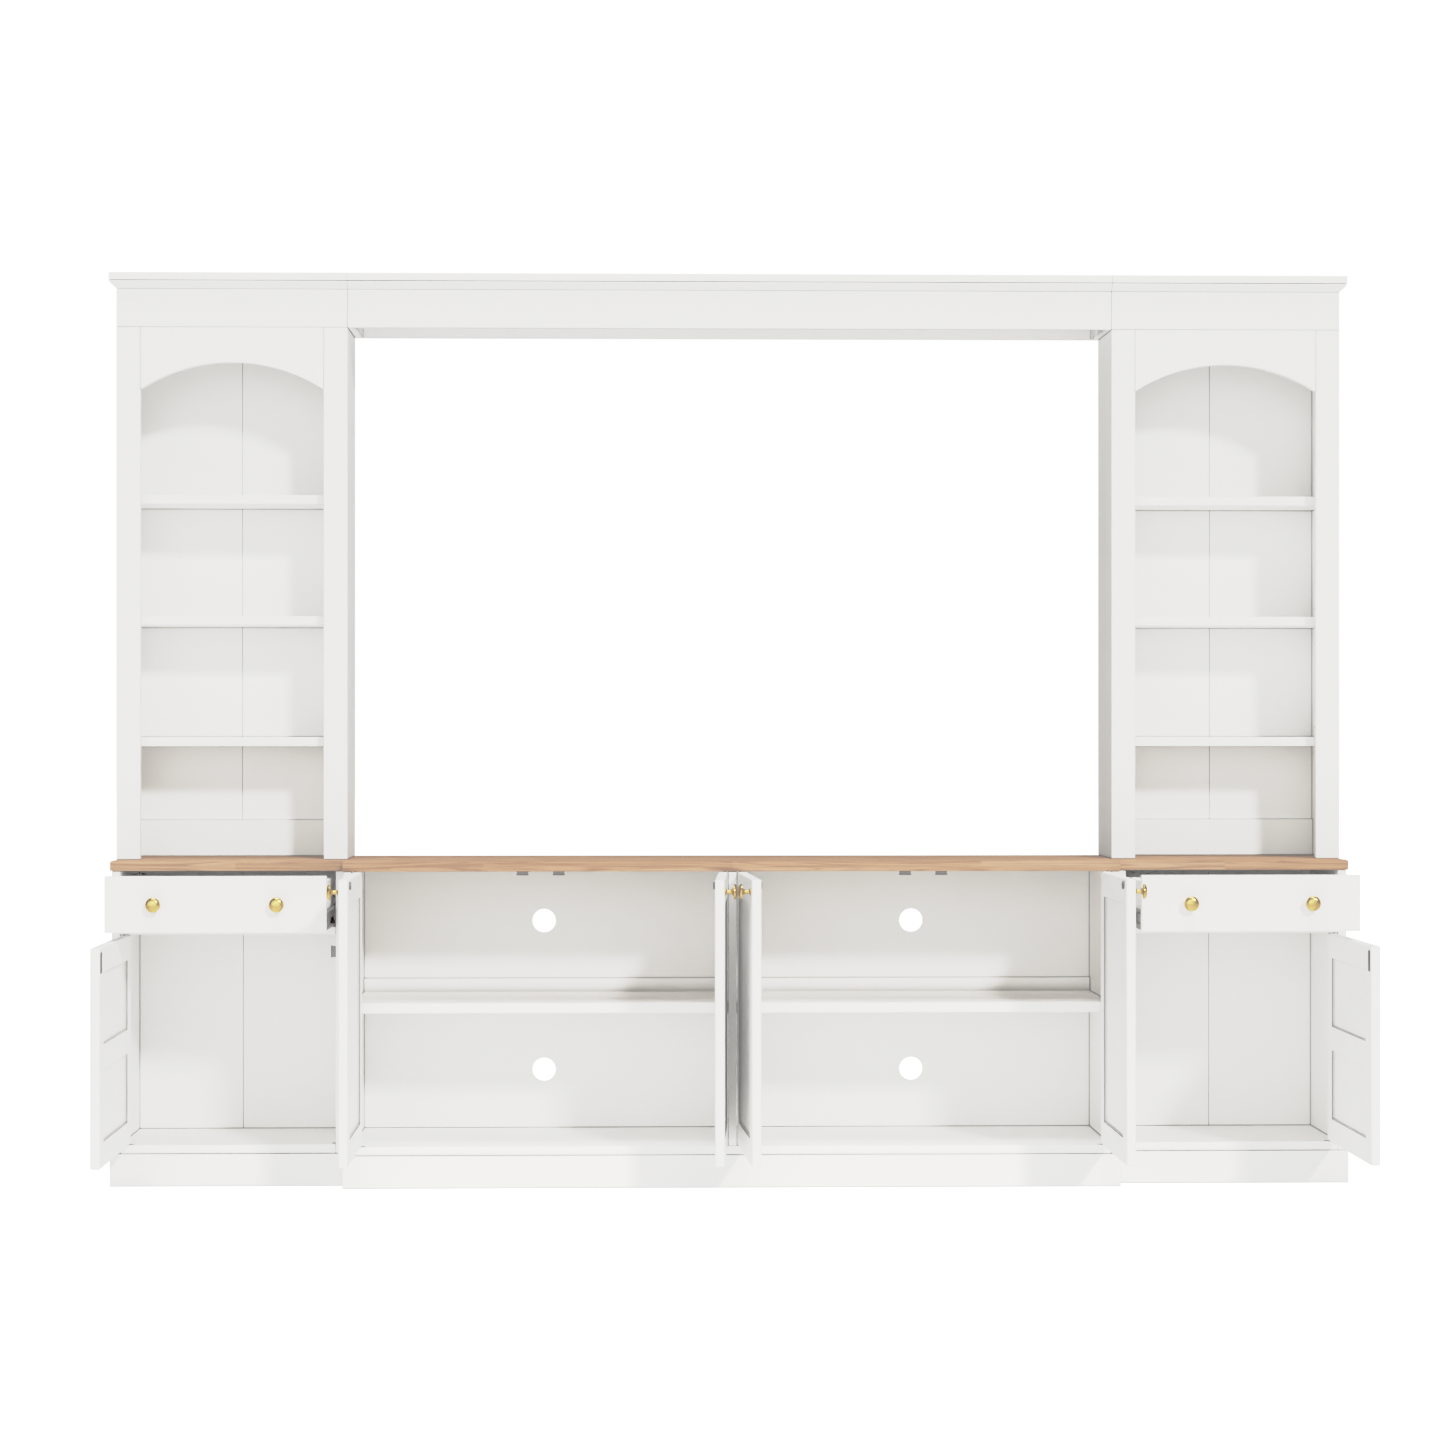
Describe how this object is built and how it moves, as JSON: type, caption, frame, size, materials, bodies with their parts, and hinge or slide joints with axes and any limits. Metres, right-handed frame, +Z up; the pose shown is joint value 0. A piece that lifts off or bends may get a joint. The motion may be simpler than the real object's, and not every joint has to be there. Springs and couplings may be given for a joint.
{
  "type": "entertainment center",
  "caption": "White framed entertainment center with oak tops: low console with hinged doors, side towers with drawers and arched open hutches, and a bridge over the screen space.",
  "frame": {"origin": "on the floor under the middle of the console's width and depth", "axes": "+X to the right seen from the front, +Y to the wall, +Z up"},
  "size_m": [2.732, 0.7785, 1.997],
  "materials": {
    "white_paint": "satin white paint on fibreboard",
    "oak": "matt light oak",
    "brushed_gold": "brushed gold",
    "slide_steel": "dark grey plated steel"
  },
  "bodies": {
    "root": {"console_base": "white_paint", "console_top": "oak", "console_divider": "white_paint", "console_back": "white_paint", "console_side_left": "white_paint", "console_side_right": "white_paint", "console_shelf_left": "white_paint", "console_shelf_right": "white_paint", "left_tower_base": "white_paint", "left_tower_side_inner": "white_paint", "left_tower_side_outer": "white_paint", "left_tower_divider": "white_paint", "left_tower_top": "oak", "left_tower_back": "white_paint", "left_slide_rail_inner": "slide_steel", "left_slide_rail_outer": "slide_steel", "left_hutch_side_inner": "white_paint", "left_hutch_side_outer": "white_paint", "left_hutch_face_frame": "white_paint", "left_hutch_back": "white_paint", "left_hutch_shelf_1": "white_paint", "left_hutch_shelf_2": "white_paint", "left_hutch_shelf_3": "white_paint", "left_hutch_crown": "white_paint", "right_tower_base": "white_paint", "right_tower_side_inner": "white_paint", "right_tower_side_outer": "white_paint", "right_tower_divider": "white_paint", "right_tower_top": "oak", "right_tower_back": "white_paint", "right_slide_rail_inner": "slide_steel", "right_slide_rail_outer": "slide_steel", "right_hutch_side_inner": "white_paint", "right_hutch_side_outer": "white_paint", "right_hutch_face_frame": "white_paint", "right_hutch_back": "white_paint", "right_hutch_shelf_1": "white_paint", "right_hutch_shelf_2": "white_paint", "right_hutch_shelf_3": "white_paint", "right_hutch_crown": "white_paint", "bridge_frame": "white_paint", "bridge_crown": "white_paint"},
    "left_drawer": {"left_drawer_front": "white_paint", "left_drawer_box": "white_paint", "left_drawer_knob_left": "brushed_gold", "left_drawer_knob_right": "brushed_gold"},
    "right_drawer": {"right_drawer_front": "white_paint", "right_drawer_box": "white_paint", "right_drawer_knob_left": "brushed_gold", "right_drawer_knob_right": "brushed_gold"},
    "left_tower_door": {"left_tower_door": "white_paint"},
    "right_tower_door": {"right_tower_door": "white_paint"},
    "console_door_1": {"console_door_1": "white_paint", "console_door_1_knob": "brushed_gold"},
    "console_door_2": {"console_door_2": "white_paint", "console_door_2_knob": "brushed_gold"},
    "console_door_3": {"console_door_3": "white_paint", "console_door_3_knob": "brushed_gold"},
    "console_door_4": {"console_door_4": "white_paint", "console_door_4_knob": "brushed_gold"}
  },
  "joints": [
    {"name": "left_drawer_slide", "type": "slide", "parent": "root", "child": "left_drawer", "axis": [0, -1, 0], "range_m": [-0.243, 0.01]},
    {"name": "right_drawer_slide", "type": "slide", "parent": "root", "child": "right_drawer", "axis": [0, -1, 0], "range_m": [-0.243, 0.01]},
    {"name": "left_tower_door_hinge", "type": "hinge", "parent": "root", "child": "left_tower_door", "pos_m": [-1.3225, -0.129, 0.3185], "axis": [0, 0, -1], "range_deg": [-90, 10]},
    {"name": "right_tower_door_hinge", "type": "hinge", "parent": "root", "child": "right_tower_door", "pos_m": [1.3225, -0.129, 0.3185], "axis": [0, 0, 1], "range_deg": [-90, 10]},
    {"name": "console_door_1_hinge", "type": "hinge", "parent": "root", "child": "console_door_1", "pos_m": [-0.8165, -0.181, 0.38775], "axis": [0, 0, -1], "range_deg": [-90, 0]},
    {"name": "console_door_2_hinge", "type": "hinge", "parent": "root", "child": "console_door_2", "pos_m": [-0.0165, -0.181, 0.38775], "axis": [0, 0, 1], "range_deg": [-87.48, 0]},
    {"name": "console_door_3_hinge", "type": "hinge", "parent": "root", "child": "console_door_3", "pos_m": [0.0165, -0.181, 0.38775], "axis": [0, 0, -1], "range_deg": [-87.48, 0]},
    {"name": "console_door_4_hinge", "type": "hinge", "parent": "root", "child": "console_door_4", "pos_m": [0.8165, -0.181, 0.38775], "axis": [0, 0, 1], "range_deg": [-90, 0]}
  ]
}
